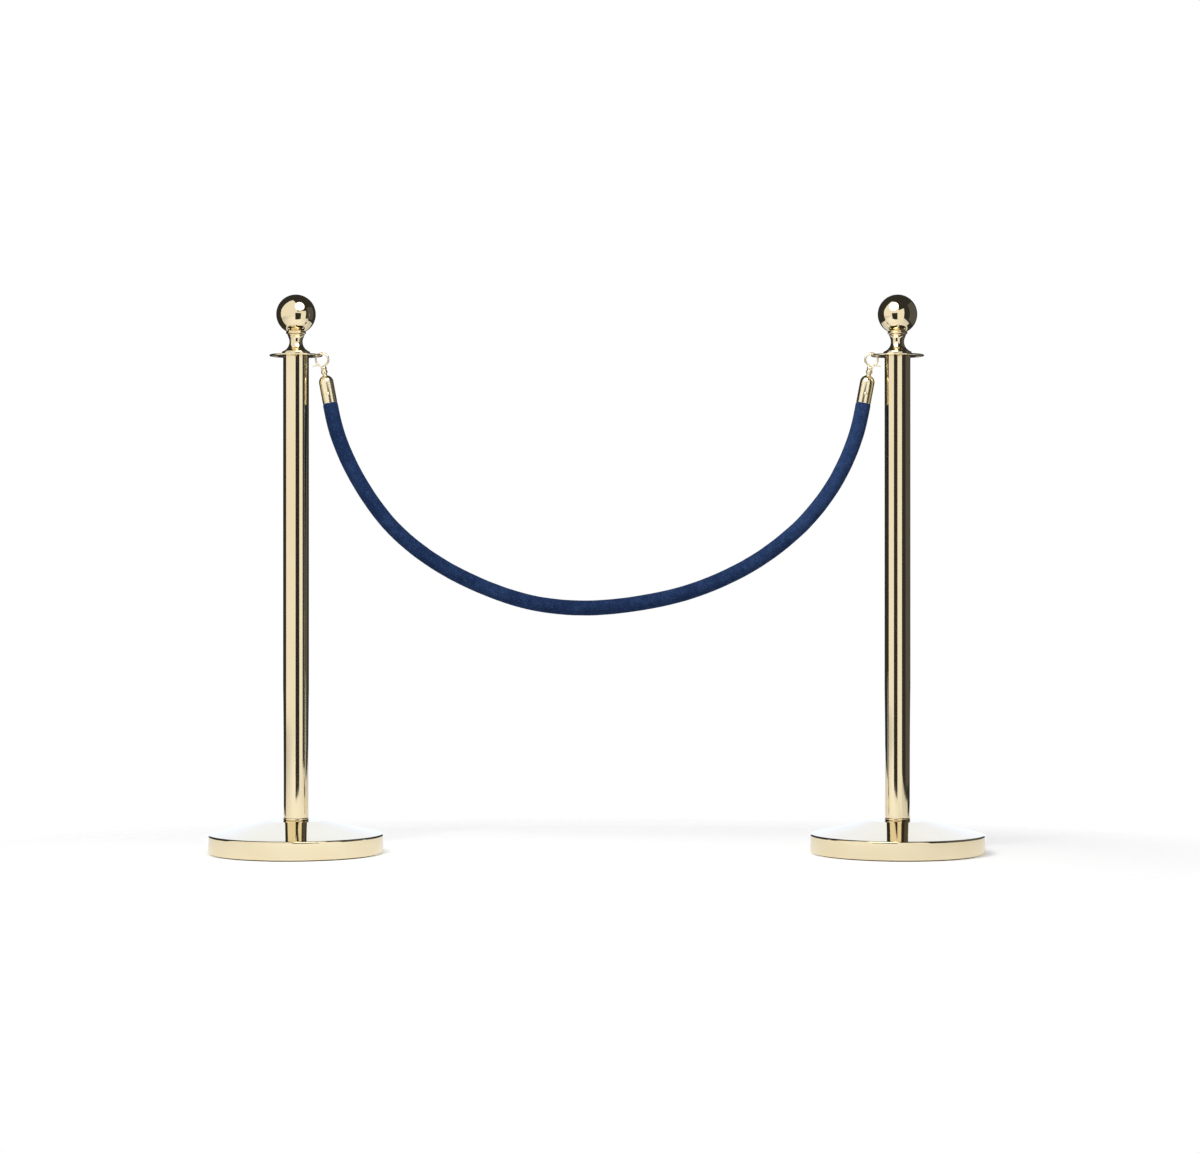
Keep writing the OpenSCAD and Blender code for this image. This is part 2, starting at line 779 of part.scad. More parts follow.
module rope_core() {
    inset = sheath_t + soft_gap;
    color("beige") difference() {
        swept(rope_stations(grip_r - inset, rope_r - inset, mouth - soft_gap - inset), rope_sides);
        screw_holes();
    }
}

module rope_sheath() {
    color("navy") difference() {
        swept_tube(
            rope_stations(grip_r, rope_r, mouth - soft_gap),
            rope_stations(grip_r - sheath_t, rope_r - sheath_t, mouth - soft_gap - sheath_t),
            rope_sides
        );
        screw_holes();
    }
}

for (side = SIDES) {
    at_post(side) floor_ring();
    at_post(side) base_weight();
    at_post(side) base_cover();
    at_post(side) tie_rod();
    at_post(side) base_washer();
    at_post(side) base_nut();
    at_post(side) base_collar();
    at_post(side) lower_plug();
    at_post(side) post_tube();
    at_post(side) upper_plug();
    at_post(side) rope_plate();
    at_post(side) finial_stud();
    at_post(side) finial_neck();
    at_post(side) finial_ball();
    at_end(side) ferrule();
    at_end(side) ferrule_screw();
    at_end(side) swivel_pin();
    at_end(side) swivel_washer();
    at_end(side) nut_washer();
    at_end(side) swivel_nut();
    at_end(side) hook();
    at_end(side) trigger();
    at_end(side) trigger_pin();
    at_end(side) trigger_spring();
}
rope_core();
rope_sheath();
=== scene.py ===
from math import acos, asin, atan2, cos, degrees, exp, pi, radians, sin, sqrt, tan

import bmesh
import bpy
from mathutils import Matrix, Vector, noise


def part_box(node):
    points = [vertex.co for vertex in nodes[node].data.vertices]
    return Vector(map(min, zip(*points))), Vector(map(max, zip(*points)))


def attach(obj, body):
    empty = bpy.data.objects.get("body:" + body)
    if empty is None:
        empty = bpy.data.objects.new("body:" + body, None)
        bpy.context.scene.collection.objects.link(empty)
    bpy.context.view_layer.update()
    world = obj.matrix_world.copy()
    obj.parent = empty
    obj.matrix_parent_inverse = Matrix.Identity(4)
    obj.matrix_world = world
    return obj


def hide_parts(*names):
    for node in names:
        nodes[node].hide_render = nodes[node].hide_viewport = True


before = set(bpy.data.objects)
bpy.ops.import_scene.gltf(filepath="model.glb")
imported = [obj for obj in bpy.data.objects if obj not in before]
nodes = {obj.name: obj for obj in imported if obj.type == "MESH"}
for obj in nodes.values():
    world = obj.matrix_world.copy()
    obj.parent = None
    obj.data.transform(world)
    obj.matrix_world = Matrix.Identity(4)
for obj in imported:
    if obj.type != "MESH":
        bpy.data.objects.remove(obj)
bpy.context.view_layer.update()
scene = bpy.context.scene
scene.view_settings.view_transform = "Standard"

MM = 0.001
SIDES = {"left": -1, "right": 1}
SHARP = 38  # degrees; steeper edges stay sharp


# Sizes, read from the frame where it has them

def span(node, axis):
    low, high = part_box(node)
    return low[axis], high[axis]


def half_width(node, axis):
    low, high = span(node, axis)
    return (high - low) / 2


POST_X = sum(span("right_post_tube", 0)) / 2
TUBE_R = half_width("right_post_tube", 0)
TUBE_LOW, TUBE_TOP = span("right_post_tube", 2)
BASE_R = half_width("right_base_cover", 0)
BASE_LOW, BASE_TOP = span("right_base_cover", 2)
COLLAR_R = half_width("right_base_collar", 0)
PLATE_R = half_width("right_rope_plate", 1)
PLATE_LOW, PLATE_TOP = span("right_rope_plate", 2)
BALL_R = half_width("right_finial_ball", 1)
BALL_Z = span("right_finial_ball", 2)[1] - BALL_R
FERRULE_R = half_width("right_ferrule", 1)

# Holes that pieces share: the tie rod's, the finial stud's and the hooks'
ROD_HOLE_R = 6.3 * MM
STUD_HOLE_R = 5.1 * MM
HOOK_HOLE_R = 6.5 * MM

# Distances of a hook hole and of the hook's loop from the post's axis.
# The loop hangs on the hole's outer edge, with a little play.
HOLE_OUT = 37.5 * MM
LOOP_OUT = 46.5 * MM
LOOP_IN_R = 9.5 * MM
HANG_GAP = 0.28 * MM
LOOP_DROP = sqrt((LOOP_IN_R - HANG_GAP) ** 2 - (LOOP_OUT - HOLE_OUT - HOOK_HOLE_R) ** 2)

# The end frame: origin at the centre of the hook's loop, +Z up the ferrule's axis, +X to the post.
# The frame's numbers are single precision, so the origin is rounded to a tenth of a micron.
END_X = round(POST_X - LOOP_OUT, 7)
END_Z = round(PLATE_TOP - LOOP_DROP, 7)
END_TILT = radians(10.6)
FERRULE_TOP = -29.1 * MM
FERRULE_LEN = 37.6 * MM
DOME_Z = -41.403 * MM
MOUTH = DOME_Z - FERRULE_LEN
SCREW_UP = 17 * MM

# Points of the rope's route between the ferrules' mouths, [x, z] in millimetres, left to right
ROUTE = [
    (-468, 762), (-452, 718), (-431, 675), (-405, 633), (-372, 590), (-334, 554),
    (-281, 516), (-226, 487), (-173, 465), (-119, 449), (-66, 441), (-12, 439),
    (42, 443), (95, 451), (149, 463), (202, 481), (256, 506), (292, 527),
    (328, 553), (370, 590), (406, 633), (433, 675), (453, 718), (468, 761),
]
ROPE_D = 27 * MM
ROPE_R = ROPE_D / 2


def end_matrix(side):
    """Places a rope end's piece; the left end mirrors the right one."""
    place = Matrix.Translation((END_X, 0, END_Z)) @ Matrix.Rotation(END_TILT, 4, "Y")
    if SIDES[side] < 0:
        return Matrix.Diagonal((-1, 1, 1, 1)) @ place
    return place


def post_matrix(side):
    return Matrix.Translation((SIDES[side] * POST_X, 0, 0))


# Camera

def make_camera():
    data = bpy.data.cameras.new("camera")
    data.lens = 87
    data.sensor_width = 36
    camera = bpy.data.objects.new("camera", data)
    camera.location = (0.0058, -5.188, 0.4956)
    camera.rotation_euler = (radians(90), 0, 0)
    scene.collection.objects.link(camera)
    scene.camera = camera


make_camera()


# Mesh helpers

def finish_mesh(name, bm, sharp=SHARP):
    """A linked object from a bmesh, smooth apart from edges sharper than the angle given."""
    bmesh.ops.recalc_face_normals(bm, faces=bm.faces)
    mesh = bpy.data.meshes.new(name)
    bm.to_mesh(mesh)
    bm.free()
    mesh.shade_smooth()
    mesh.set_sharp_from_angle(angle=radians(sharp))
    obj = bpy.data.objects.new(name, mesh)
    scene.collection.objects.link(obj)
    return obj


def arc(x, z, r, start, end, steps):
    """Points of an arc about (x, z), angles in degrees."""
    turn = [radians(start + (end - start) * i / steps) for i in range(steps + 1)]
    return [(x + r * cos(a), z + r * sin(a)) for a in turn]


def lathe(name, outline, matrix, segments=160):
    """Turns a closed outline of (radius, height) about the Z axis of the matrix.
    The UV map holds the turn about the axis and the distance along the outline."""
    bm = bmesh.new()
    uv = bm.loops.layers.uv.new("turning")
    rings = []
    for r, z in outline:
        if r < 1e-7:
            rings.append([bm.verts.new(matrix @ Vector((0, 0, z)))])
            continue
        turn = [2 * pi * i / segments + pi / 2 for i in range(segments)]
        rings.append([bm.verts.new(matrix @ Vector((r * cos(a), r * sin(a), z))) for a in turn])
    along = 0
    for k, ring in enumerate(rings):
        after = rings[(k + 1) % len(rings)]
        (r0, z0), (r1, z1) = outline[k], outline[(k + 1) % len(outline)]
        reach = along + sqrt((r1 - r0) ** 2 + (z1 - z0) ** 2)
        if len(ring) == 1 and len(after) == 1:
            along = reach
            continue
        for i in range(segments):
            j = (i + 1) % segments
            corners = [(ring[i % len(ring)], i, along), (ring[j % len(ring)], i + 1, along),
                       (after[j % len(after)], i + 1, reach), (after[i % len(after)], i, reach)]
            if len(ring) == 1:
                corners.pop(1)
            elif len(after) == 1:
                corners.pop(2)
            face = bm.faces.new([c[0] for c in corners])
            for loop, corner in zip(face.loops, corners):
                loop[uv].uv = (corner[1] / segments, corner[2])
        along = reach
    return finish_mesh(name, bm)


def baked(obj):
    """Applies the object's modifiers to its mesh."""
    graph = bpy.context.evaluated_depsgraph_get()
    mesh = bpy.data.meshes.new_from_object(obj.evaluated_get(graph))
    obj.modifiers.clear()
    obj.data = mesh
    return obj


def cut_out(obj, cutter):
    """Cuts the cutter's shape out of the object, then removes the cutter."""
    cut = obj.modifiers.new("cut", "BOOLEAN")
    cut.operation = "DIFFERENCE"
    cut.solver = "EXACT"
    cut.object = cutter
    baked(obj)
    bpy.data.objects.remove(cutter)
    obj.data.shade_smooth()
    obj.data.set_sharp_from_angle(angle=radians(SHARP))


# Rope

def smooth_line(points, step):
    """A curve through the points, sampled about every step."""
    line = []
    padded = [2 * points[0] - points[1]] + points + [2 * points[-1] - points[-2]]
    for i in range(1, len(padded) - 2):
        p0, p1, p2, p3 = padded[i - 1:i + 3]
        t0, t1 = 0, sqrt((p1 - p0).length)
        t2 = t1 + sqrt((p2 - p1).length)
        t3 = t2 + sqrt((p3 - p2).length)
        count = max(1, round((p2 - p1).length / step))
        for k in range(count):
            t = t1 + (t2 - t1) * k / count
            a1 = p0.lerp(p1, (t - t0) / (t1 - t0))
            a2 = p1.lerp(p2, (t - t1) / (t2 - t1))
            a3 = p2.lerp(p3, (t - t2) / (t3 - t2))
            b1 = a1.lerp(a2, (t - t0) / (t2 - t0))
            b2 = a2.lerp(a3, (t - t1) / (t3 - t1))
            line.append(b1.lerp(b2, (t - t1) / (t2 - t1)))
    line.append(points[-1].copy())
    return line


def relaxed(line, rounds):
    """The same line with its small kinks eased out, ends kept."""
    for _ in range(rounds):
        inner = [(a + 2 * b + c) / 4 for a, b, c in zip(line, line[1:], line[2:])]
        line = [line[0]] + inner + [line[-1]]
    return line


def end_point(side, z):
    return end_matrix(side) @ Vector((0, 0, z))


ROPE_TUCK = 12 * MM
ROPE_STEP = 1.6 * MM
ROPE_EASING = 220  # rounds


def rope_line():
    """Centre line from just inside the left ferrule to just inside the right one."""
    points = [end_point("left", MOUTH)]
    points += [Vector((x * MM, 0, z * MM)) for x, z in ROUTE]
    points.append(end_point("right", MOUTH))
    line = relaxed(smooth_line(points, ROPE_STEP), ROPE_EASING)
    tuck = round(ROPE_TUCK / ROPE_STEP)
    before = [end_point("left", MOUTH + ROPE_STEP * (tuck - i)) for i in range(tuck)]
    after = [end_point("right", MOUTH + ROPE_STEP * (i + 1)) for i in range(tuck)]
    return before + line + after, tuck


SEAM_ZONE = 6 * MM
SEAM_W = 1.1 * MM
SEAM_DEEP = 0.8 * MM
SEAM_LIP = 0.3 * MM
SEAM_LIP_AT = 2.2 * SEAM_W


def rope_angles():
    """Angles round the rope from its front, closer together at the seam along its back."""
    coarse, fine = 62, 24
    seam_zone = SEAM_ZONE / ROPE_R
    plain_zone = pi - seam_zone
    front = [-plain_zone + 2 * plain_zone * i / coarse for i in range(coarse)]
    back = [plain_zone + 2 * seam_zone * i / fine for i in range(fine)]
    return front + back


def seam_offset(angle):
    away = abs((angle % (2 * pi)) - pi) * ROPE_R
    groove = exp(-((away / SEAM_W) ** 2))
    lip = exp(-(((away - SEAM_LIP_AT) / SEAM_W) ** 2))
    return SEAM_LIP * lip - SEAM_DEEP * groove


def swell(distance):
    """The rope's radius at a distance past the ferrule's mouth: gripped inside, full outside."""
    gripped = 11.6 * MM
    rise = 5 * MM
    overlap = 0.3 * MM
    t = min(1, max(0, (distance + overlap) / rise))
    return gripped + (ROPE_R - gripped) * sqrt(1 - (1 - t) ** 2)


def rope_radius(place, distance, angle):
    """Radius with the cloth's slack over the filling and the clumps of its pile."""
    slack_depth, slack_scale = 0.22 * MM, 38
    clump_depth, clump_scale = 0.10 * MM, 260
    held_for = 12 * MM
    slack = slack_depth * noise.noise(place * slack_scale)
    clumps = clump_depth * noise.noise(place * clump_scale)
    loose = min(1, max(0, distance / held_for))
    return swell(distance) + loose * (slack + seam_offset(angle)) + clumps


def make_rope():
    line, tuck = rope_line()
    angles = rope_angles()
    reach = [0]
    for a, b in zip(line, line[1:]):
        reach.append(reach[-1] + (b - a).length)
    bm = bmesh.new()
    front = Vector((0, -1, 0))
    rings = []
    for i, centre in enumerate(line):
        ahead = (line[min(i + 1, len(line) - 1)] - line[max(i - 1, 0)]).normalized()
        up = ahead.cross(front).normalized()
        distance = min(reach[i] - reach[tuck], reach[-1 - tuck] - reach[i])
        ring = []
        for angle in angles:
            out = cos(angle) * front + sin(angle) * up
            place = centre + ROPE_R * out
            ring.append(bm.verts.new(centre + rope_radius(place, distance, angle) * out))
        rings.append(ring)
    count = len(angles)
    for ring, after in zip(rings, rings[1:]):
        for i in range(count):
            j = (i + 1) % count
            bm.faces.new((ring[i], ring[j], after[j], after[i]))
    bm.faces.new(rings[0])
    bm.faces.new(reversed(rings[-1]))
    rope = finish_mesh("velvet_rope", bm, sharp=70)
    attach(rope, "rope")
    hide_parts("rope_sheath")
    return rope, line


rope, rope_path = make_rope()


# Gold pieces of a post

def cover_outline():
    """Spun cover: hem, rim, cone and flat top, with the sheet's inside."""
    sheet = 1.2 * MM
    hem, hem_round = 6 * MM, 2.5 * MM
    corner_h, rim_round = 34.5 * MM, 3.5 * MM
    flat_r, shoulder_round = 52 * MM, 9 * MM
    slope = atan2(BASE_TOP - corner_h, BASE_R - flat_r)
    lean = degrees(slope)

    def face(o):
        """Rim and shoulder of the face that lies o inside the outer one."""
        r, top, drop = BASE_R - o, BASE_TOP - o, o / cos(slope)
        corner_z = BASE_TOP - (r - flat_r) * tan(slope) - drop
        shoulder_x = flat_r - (drop - o) / tan(slope)
        rim, shoulder = rim_round - o, shoulder_round - o
        rim_back = rim / tan(pi / 4 + slope / 2)
        shoulder_back = shoulder * tan(slope / 2)
        return (arc(r - rim, corner_z - rim_back, rim, 0, 90 - lean, 14)
                + arc(shoulder_x - shoulder_back, top - shoulder, shoulder, 90 - lean, 90, 12))

    foot = (BASE_R - hem_round, BASE_LOW + hem_round)
    outside = arc(*foot, hem_round, -90, 0, 10) + face(0) + [(ROD_HOLE_R, BASE_TOP)]
    inside = ([(ROD_HOLE_R, BASE_TOP - sheet)] + face(sheet)[::-1]
              + arc(*foot, hem_round - sheet, 0, -90, 10))
    return [(BASE_R - hem, BASE_LOW)] + outside + inside + [(BASE_R - hem, BASE_LOW + sheet)]


def collar_outline():
    low, top = BASE_TOP, TUBE_LOW
    edge = (top - low) / 3
    return ([(ROD_HOLE_R, low)] + arc(COLLAR_R - edge, low + edge, edge, -90, 0, 10)
            + arc(COLLAR_R - edge, top - edge, edge, 0, 90, 10) + [(ROD_HOLE_R, top)])


def tube_outline():
    wall = 1.5 * MM
    edge = 0.3 * MM
    inner = TUBE_R - wall
    return [(inner, TUBE_LOW), (TUBE_R - edge, TUBE_LOW), (TUBE_R, TUBE_LOW + edge),
            (TUBE_R, TUBE_TOP - edge), (TUBE_R - edge, TUBE_TOP), (inner, TUBE_TOP)]


def neck_outline():
    """Turned neck: flared foot, cove, two beads and the cup under the ball."""
    foot_r, foot_h, foot_round = 25.5 * MM, 3.4 * MM, 1.2 * MM
    waist_r, waist_h, cove_r = 11.8 * MM, 23.2 * MM, 18.5 * MM
    height = 42 * MM
    seat_gap = 0.1 * MM
    bead_overlap = 0.3 * MM
    bead_r, bead_in = 2.6 * MM, 15.3 * MM
    low_r, low_in = 1.8 * MM, 13.4 * MM
    bead_h = height - bead_r - seat_gap
    low_h = bead_h - bead_r - low_r + bead_overlap
    cup_r = BALL_R + seat_gap
    cup_drop = BALL_Z - PLATE_TOP
    cup_edge = 16.6 * MM
    cup = [cup_edge + (STUD_HOLE_R - cup_edge) * i / 8 for i in range(9)]
    outline = [(STUD_HOLE_R, 0)]
    outline += arc(foot_r - foot_round, foot_round, foot_round, -90, 0, 8)
    outline += arc(foot_r - foot_round, foot_h, foot_round, 0, 60, 8)
    outline += arc(waist_r + cove_r, waist_h, cove_r, -108, -210, 48)
    outline += arc(low_in, low_h, low_r, -75, 70, 20)
    outline += arc(bead_in, bead_h, bead_r, -70, 62, 24)
    outline += [(r, cup_drop - sqrt(cup_r ** 2 - r ** 2)) for r in cup]
    return [(r, PLATE_TOP + z) for r, z in outline]


def ball_outline():
    """Ball with the hole of its stud, closed over the stud's end."""
    hole_r = 5 * MM
    boss = 16 * MM
    low = -degrees(acos(hole_r / BALL_R))
    outside = arc(0, BALL_Z, BALL_R, low, 90, 96)
    outside[-1] = (0, BALL_Z + BALL_R)
    return outside + [(0, BALL_Z - BALL_R + boss), (hole_r, BALL_Z - BALL_R + boss)]


def plate_cutter(matrix):
    """Spool that cuts a hook hole and rounds both its edges."""
    edge = 0.5 * MM
    clear = 1 * MM
    rim = HOOK_HOLE_R + edge
    low = arc(rim, PLATE_LOW + edge, edge, 270, 180, 6)
    top = arc(rim, PLATE_TOP - edge, edge, 180, 90, 6)
    outline = ([(0, PLATE_LOW - clear), (rim, PLATE_LOW - clear)] + low + top
               + [(rim, PLATE_TOP + clear), (0, PLATE_TOP + clear)])
    return lathe("cutter", outline, matrix, 64)


def make_plate(name, matrix):
    """Disc with a rounded edge and four hook holes at quarter turns."""
    edge = 1.2 * MM
    outline = ([(STUD_HOLE_R, PLATE_LOW)]
               + arc(PLATE_R - edge, PLATE_LOW + edge, edge, -90, 0, 10)
               + arc(PLATE_R - edge, PLATE_TOP - edge, edge, 0, 90, 10)
               + [(STUD_HOLE_R, PLATE_TOP)])
    plate = lathe(name, outline, matrix)
    for quarter in range(4):
        spin = Matrix.Rotation(quarter * pi / 2, 4, "Z") @ Matrix.Translation((HOLE_OUT, 0, 0))
        cut_out(plate, plate_cutter(matrix @ spin))
    even = plate.modifiers.new("even", "WEIGHTED_NORMAL")
    even.keep_sharp = True
    even.weight = 100
    return baked(plate)


POST_OUTLINES = {
    "base_cover": cover_outline(),
    "base_collar": collar_outline(),
    "post_tube": tube_outline(),
    "finial_neck": neck_outline(),
    "finial_ball": ball_outline(),
}


def make_post(side):
    pieces = {}
    matrix = post_matrix(side)
    for part, outline in POST_OUTLINES.items():
        segments = 256 if part == "base_cover" else 160
        pieces[part] = lathe(f"{side}_gold_{part}", outline, matrix, segments)
    pieces["rope_plate"] = make_plate(f"{side}_gold_rope_plate", matrix)
    for part, piece in pieces.items():
        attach(piece, "posts")
        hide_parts(f"{side}_{part}")
    return pieces


# Gold pieces of a rope end

def ferrule_outline():
    """Domed cap with a rolled mouth."""
    wall = 1 * MM
    inner = FERRULE_R - wall
    lip = wall / 2
    hole_r = 2.55 * MM
    inner_seat_r = 5.4 * MM
    inner_seat = DOME_Z + sqrt(inner ** 2 - inner_seat_r ** 2)
    dome_from = degrees(asin((FERRULE_TOP - DOME_Z) / FERRULE_R))
    inner_from = degrees(asin((inner_seat - DOME_Z) / inner))
    return ([(hole_r, FERRULE_TOP)] + arc(0, DOME_Z, FERRULE_R, dome_from, 0, 32)
            + arc(FERRULE_R - lip, MOUTH + lip, lip, 0, -180, 10)
            + arc(0, DOME_Z, inner, 0, inner_from, 24) + [(hole_r, inner_seat)])


def make_screw(name, matrix):
    """Round-headed screw with a slot across its head."""
    head_r, head_h = 3.2 * MM, 1.7 * MM
    shank_r, length = 1.5 * MM, 10 * MM
    blunt_r, blunt_h = 0.9 * MM, 1 * MM
    point_h = 3 * MM
    gap = 0.05 * MM
    slot_w, slot_deep, slot_turn = 0.8 * MM, 0.9 * MM, radians(28)
    crown = (head_r ** 2 + head_h ** 2) / (2 * head_h)
    crown_from = degrees(asin((crown - head_h) / crown))
    place = (matrix @ Matrix.Translation((0, 0, MOUTH + SCREW_UP)) @ Matrix.Rotation(pi / 2, 4, "X")
             @ Matrix.Translation((0, 0, FERRULE_R + gap)))
    shank = [(0, -length), (blunt_r, blunt_h - length), (shank_r, point_h - length), (shank_r, 0)]
    dome = arc(0, head_h - crown, crown, crown_from, 90, 16)
    dome[-1] = (0, head_h)
    screw = lathe(name, shank + dome, place, 64)
    bm = bmesh.new()
    turned = place @ Matrix.Rotation(slot_turn, 4, "Z")
    bmesh.ops.create_cube(bm, size=1, matrix=turned @ Matrix.Translation((0, 0, head_h))
                          @ Matrix.Diagonal((3 * head_r, slot_w, 2 * slot_deep, 1)))
    cut_out(screw, finish_mesh("cutter", bm))
    return screw


def blended(name, node, voxel, rounds):
    """The node's own shape with its edges and inner corners eased, as on a cast piece."""
    mesh = nodes[node].data.copy()
    obj = bpy.data.objects.new(name, mesh)
    scene.collection.objects.link(obj)
    weld = obj.modifiers.new("weld", "WELD")
    weld.merge_threshold = 0.001 * MM
    skin = obj.modifiers.new("skin", "REMESH")
    skin.mode = "VOXEL"
    skin.voxel_size = voxel
    skin.use_smooth_shade = True
    ease = obj.modifiers.new("ease", "SMOOTH")
    ease.factor = 0.5
    ease.iterations = rounds
    return baked(obj)


def make_end(side):
    matrix = end_matrix(side)
    ferrule = lathe(f"{side}_gold_ferrule", ferrule_outline(), matrix, 128)
    screw = make_screw(f"{side}_gold_ferrule_screw", matrix)
    hook = blended(f"{side}_gold_hook", f"{side}_hook", voxel=0.2 * MM, rounds=6)
    trigger = blended(f"{side}_gold_trigger", f"{side}_trigger", voxel=0.16 * MM, rounds=4)
    pieces = {"ferrule": ferrule, "ferrule_screw": screw, "hook": hook, "trigger": trigger}
    bodies = {"ferrule": "rope", "ferrule_screw": "rope",
              "hook": f"{side}_hook", "trigger": f"{side}_trigger"}
    for part, piece in pieces.items():
        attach(piece, bodies[part])
        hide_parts(f"{side}_{part}")
    return pieces


posts = {side: make_post(side) for side in SIDES}
ends = {side: make_end(side) for side in SIDES}


# Materials

class Graph:
    """A material's nodes, added and linked one at a time."""

    def __init__(self, name):
        self.material = bpy.data.materials.new(name)
        self.material.use_nodes = True
        self.tree = self.material.node_tree
        self.shader = self.tree.nodes["Principled BSDF"]

    def add(self, kind, **settings):
        node = self.tree.nodes.new(kind)
        for key, value in settings.items():
            setattr(node, key, value)
        return node

    def link(self, source, target):
        self.tree.links.new(source, target)

    def coords(self, kind="Object", scale=(1, 1, 1)):
        source = self.add("ShaderNodeTexCoord").outputs[kind]
        mapping = self.add("ShaderNodeMapping")
        mapping.inputs["Scale"].default_value = scale
        self.link(source, mapping.inputs["Vector"])
        return mapping.outputs["Vector"]

    def noise(self, vector, scale, detail=3, rough=0.5):
        node = self.add("ShaderNodeTexNoise")
        node.inputs["Scale"].default_value = scale
        node.inputs["Detail"].default_value = detail
        node.inputs["Roughness"].default_value = rough
        self.link(vector, node.inputs["Vector"])
        return node.outputs["Fac"]

    def ramp(self, value, stops):
        node = self.add("ShaderNodeValToRGB")
        elements = node.color_ramp.elements
        while len(elements) < len(stops):
            elements.new(0.5)
        for element, (place, colour) in zip(elements, stops):
            element.position = place
            element.color = (*colour, 1)
        self.link(value, node.inputs["Fac"])
        return node.outputs["Color"]

    def math(self, operation, a, b):
        node = self.add("ShaderNodeMath", operation=operation)
        for socket, value in zip(node.inputs, (a, b)):
            if isinstance(value, (int, float)):
                socket.default_value = value
            else:
                self.link(value, socket)
        return node.outputs["Value"]

    def mix(self, fac, a, b):
        node = self.add("ShaderNodeMix", data_type="RGBA")
        sockets = [node.inputs[name] for name in ("Factor", "A", "B")]
        for socket, value in zip(sockets, (fac, a, b)):
            if isinstance(value, tuple):
                socket.default_value = (*value, 1)
            elif isinstance(value, (int, float)):
                socket.default_value = value
            else:
                self.link(value, socket)
        return node.outputs["Result"]

    def ease(self, value, start, end, low=0.0, high=1.0):
        """Goes smoothly from low, where the value is start, to high, where it is end."""
        node = self.add("ShaderNodeMapRange", interpolation_type="SMOOTHSTEP")
        ranges = {"From Min": start, "From Max": end, "To Min": low, "To Max": high}
        for name, setting in ranges.items():
            node.inputs[name].default_value = setting
        self.link(value, node.inputs["Value"])
        return node.outputs["Result"]

    def bump(self, height, distance, strength=1.0, before=None):
        node = self.add("ShaderNodeBump")
        node.inputs["Strength"].default_value = strength
        node.inputs["Distance"].default_value = distance
        self.link(height, node.inputs["Height"])
        if before is not None:
            self.link(before, node.inputs["Normal"])
        return node.outputs["Normal"]

    def set(self, name, value):
        socket = self.shader.inputs[name]
        if isinstance(value, tuple):
            socket.default_value = (*value, 1)
        elif isinstance(value, (int, float)):
            socket.default_value = value
        else:
            self.link(value, socket)


# Posts
GOLD_LIGHT = (0.875, 0.765, 0.53)
GOLD_DEEP = (0.845, 0.72, 0.475)
# Hooks and ferrules
PALE_LIGHT = (0.975, 0.895, 0.67)
PALE_DEEP = (0.95, 0.835, 0.56)
TURNING_SCALE = 2600  # of the fine lines' noise, per metre along an outline


def turning_lines(g):
    """Fine lines that run round a turned piece, from its UV map."""
    parts = g.add("ShaderNodeSeparateXYZ")
    g.link(g.add("ShaderNodeTexCoord").outputs["UV"], parts.inputs["Vector"])
    turn = g.math("MULTIPLY", parts.outputs["X"], 2 * pi)
    place = g.add("ShaderNodeCombineXYZ")
    g.link(g.math("SINE", turn, 0), place.inputs["X"])
    g.link(g.math("COSINE", turn, 0), place.inputs["Y"])
    g.link(g.math("MULTIPLY", parts.outputs["Y"], TURNING_SCALE), place.inputs["Z"])
    return g.noise(place.outputs["Vector"], scale=1.0, detail=4, rough=0.6)


def gold_material(name, deep, light, turned, rough):
    g = Graph(name)
    where = g.coords()
    cloudy = g.noise(where, scale=9)
    wiped = g.noise(g.coords(scale=(1, 1, 0.35)), scale=60, detail=4, rough=0.6)
    g.set("Base Color", g.ramp(cloudy, [(0.3, deep), (0.7, light)]))
    g.set("Metallic", 1.0)
    smear = g.math("MULTIPLY", wiped, 0.05)
    if turned:
        smear = g.math("ADD", smear, g.math("MULTIPLY", turning_lines(g), 0.03))
    g.set("Roughness", g.math("ADD", smear, rough))
    waviness = g.bump(g.noise(where, scale=30, detail=1), 0.012 * MM)
    if turned:
        g.set("Normal", waviness)
    else:
        grain = g.noise(where, scale=900, detail=2)
        g.set("Normal", g.bump(grain, 0.004 * MM, before=waviness))
    return g.material


VELVET_DEEP = (0.0074, 0.0182, 0.0585)
VELVET_BODY = (0.0126, 0.0305, 0.0925)
VELVET_LIGHT = (0.034, 0.071, 0.184)
VELVET_TIP = (0.054, 0.106, 0.265)
VELVET_SHEEN = (0.12, 0.29, 0.68)
# Where along X the painted sheen of the nap comes in, and by how much that painted light raises the
# tone
PAINTED_SHEEN_FROM, PAINTED_SHEEN_TO = 0.1, 0.46
PAINTED_SHEEN_LIFT = 0.19


